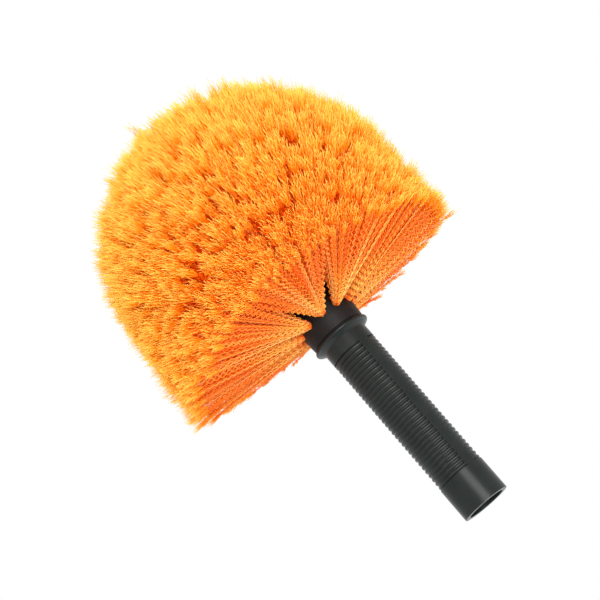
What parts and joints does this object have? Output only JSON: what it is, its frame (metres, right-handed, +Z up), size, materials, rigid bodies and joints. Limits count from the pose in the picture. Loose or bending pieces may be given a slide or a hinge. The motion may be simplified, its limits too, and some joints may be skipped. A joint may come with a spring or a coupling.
{
  "type": "cobweb brush",
  "caption": "Dome-shaped brush head of crimped filament tufts set in a round block, on a ribbed handle with a pole socket.",
  "frame": {"origin": "centre of the open end of the pole socket", "axes": "+Z up the handle axis to the top of the bristle dome; the pole leaves along -Z"},
  "size_m": [0.2036, 0.2036, 0.3062],
  "materials": {
    "handle_plastic": "satin",
    "block_plastic": "satin",
    "plated_steel": "satin",
    "orange_filament": "matte"
  },
  "bodies": {
    "root": {"handle_socket": "handle_plastic", "brush_block": "block_plastic", "anchors_ring1": "plated_steel", "anchors_ring2": "plated_steel", "anchors_ring3": "plated_steel", "anchors_ring4": "plated_steel", "anchors_ring5": "plated_steel", "anchor_nose": "plated_steel", "tuft_ring1_01": "orange_filament", "tuft_ring1_02": "orange_filament", "tuft_ring1_03": "orange_filament", "tuft_ring1_04": "orange_filament", "tuft_ring1_05": "orange_filament", "tuft_ring1_06": "orange_filament", "tuft_ring1_07": "orange_filament", "tuft_ring1_08": "orange_filament", "tuft_ring1_09": "orange_filament", "tuft_ring1_10": "orange_filament", "tuft_ring2_01": "orange_filament", "tuft_ring2_02": "orange_filament", "tuft_ring2_03": "orange_filament", "tuft_ring2_04": "orange_filament", "tuft_ring2_05": "orange_filament", "tuft_ring2_06": "orange_filament", "tuft_ring2_07": "orange_filament", "tuft_ring2_08": "orange_filament", "tuft_ring2_09": "orange_filament", "tuft_ring2_10": "orange_filament", "tuft_ring3_01": "orange_filament", "tuft_ring3_02": "orange_filament", "tuft_ring3_03": "orange_filament", "tuft_ring3_04": "orange_filament", "tuft_ring3_05": "orange_filament", "tuft_ring3_06": "orange_filament", "tuft_ring3_07": "orange_filament", "tuft_ring3_08": "orange_filament", "tuft_ring3_09": "orange_filament", "tuft_ring3_10": "orange_filament", "tuft_ring4_01": "orange_filament", "tuft_ring4_02": "orange_filament", "tuft_ring4_03": "orange_filament", "tuft_ring4_04": "orange_filament", "tuft_ring4_05": "orange_filament", "tuft_ring4_06": "orange_filament", "tuft_ring4_07": "orange_filament", "tuft_ring4_08": "orange_filament", "tuft_ring5_01": "orange_filament", "tuft_ring5_02": "orange_filament", "tuft_ring5_03": "orange_filament", "tuft_ring5_04": "orange_filament", "tuft_ring5_05": "orange_filament", "tuft_nose": "orange_filament"}
  },
  "joints": []
}
